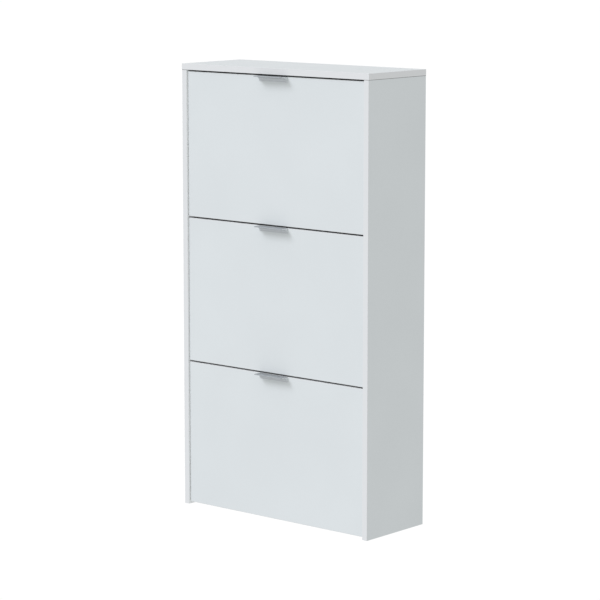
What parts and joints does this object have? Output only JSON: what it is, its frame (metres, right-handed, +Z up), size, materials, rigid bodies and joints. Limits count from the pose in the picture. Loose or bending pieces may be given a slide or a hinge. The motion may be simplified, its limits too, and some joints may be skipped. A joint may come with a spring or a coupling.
{
  "type": "shoe cabinet",
  "caption": "Tall slim flat-pack shoe cabinet with white tilt-out doors, metal finger pulls and a sloping-shelf rack behind each door.",
  "frame": {"origin": "on the floor, at the middle of the cabinet's bounding box", "axes": "+X to the cabinet's right seen from the front, -Y towards the front with the doors, +Z up"},
  "size_m": [0.602, 0.239, 1.125],
  "materials": {
    "white_board": "satin",
    "shelf_board": "satin",
    "hardboard": "satin",
    "satin_aluminium": "satin",
    "rack_plastic": "matte",
    "zinc_steel": "satin",
    "beech": "matte"
  },
  "bodies": {
    "carcass": {"left_side_panel": "white_board", "right_side_panel": "white_board", "top_panel": "white_board", "back_panel": "hardboard", "upper_cross_rail": "white_board", "lower_cross_rail": "white_board", "hanging_rail": "white_board", "middle_back_rail": "white_board", "base_rail": "white_board", "cam_locks": "zinc_steel", "cam_bolts": "zinc_steel", "dowels": "beech", "left_wall_bracket": "zinc_steel", "right_wall_bracket": "zinc_steel", "wall_bracket_screws": "zinc_steel", "back_panel_nails": "zinc_steel", "pivot_plate_screws": "zinc_steel", "lower_left_pivot_plate": "zinc_steel", "lower_right_pivot_plate": "zinc_steel", "middle_left_pivot_plate": "zinc_steel", "middle_right_pivot_plate": "zinc_steel", "upper_left_pivot_plate": "zinc_steel", "upper_right_pivot_plate": "zinc_steel"},
    "lower_flap": {"lower_door": "white_board", "lower_handle": "satin_aluminium", "lower_handle_screws": "zinc_steel", "lower_left_cheek": "rack_plastic", "lower_right_cheek": "rack_plastic", "lower_cheek_screws": "zinc_steel", "lower_front_shelf": "shelf_board", "lower_front_heel_stop": "shelf_board", "lower_rear_shelf": "shelf_board", "lower_rear_heel_stop": "shelf_board"},
    "middle_flap": {"middle_door": "white_board", "middle_handle": "satin_aluminium", "middle_handle_screws": "zinc_steel", "middle_left_cheek": "rack_plastic", "middle_right_cheek": "rack_plastic", "middle_cheek_screws": "zinc_steel", "middle_front_shelf": "shelf_board", "middle_front_heel_stop": "shelf_board", "middle_rear_shelf": "shelf_board", "middle_rear_heel_stop": "shelf_board"},
    "upper_flap": {"upper_door": "white_board", "upper_handle": "satin_aluminium", "upper_handle_screws": "zinc_steel", "upper_left_cheek": "rack_plastic", "upper_right_cheek": "rack_plastic", "upper_cheek_screws": "zinc_steel", "upper_front_shelf": "shelf_board", "upper_front_heel_stop": "shelf_board", "upper_rear_shelf": "shelf_board", "upper_rear_heel_stop": "shelf_board"}
  },
  "joints": [
    {"name": "upper_flap_hinge", "type": "hinge", "parent": "carcass", "child": "upper_flap", "pos_m": [0, -0.0755, 0.822], "axis": [1, 0, 0], "range_deg": [0, 48]},
    {"name": "middle_flap_hinge", "type": "hinge", "parent": "carcass", "child": "middle_flap", "pos_m": [0, -0.0755, 0.454], "axis": [1, 0, 0], "range_deg": [0, 48]},
    {"name": "lower_flap_hinge", "type": "hinge", "parent": "carcass", "child": "lower_flap", "pos_m": [0, -0.0755, 0.086], "axis": [1, 0, 0], "range_deg": [0, 48]}
  ]
}
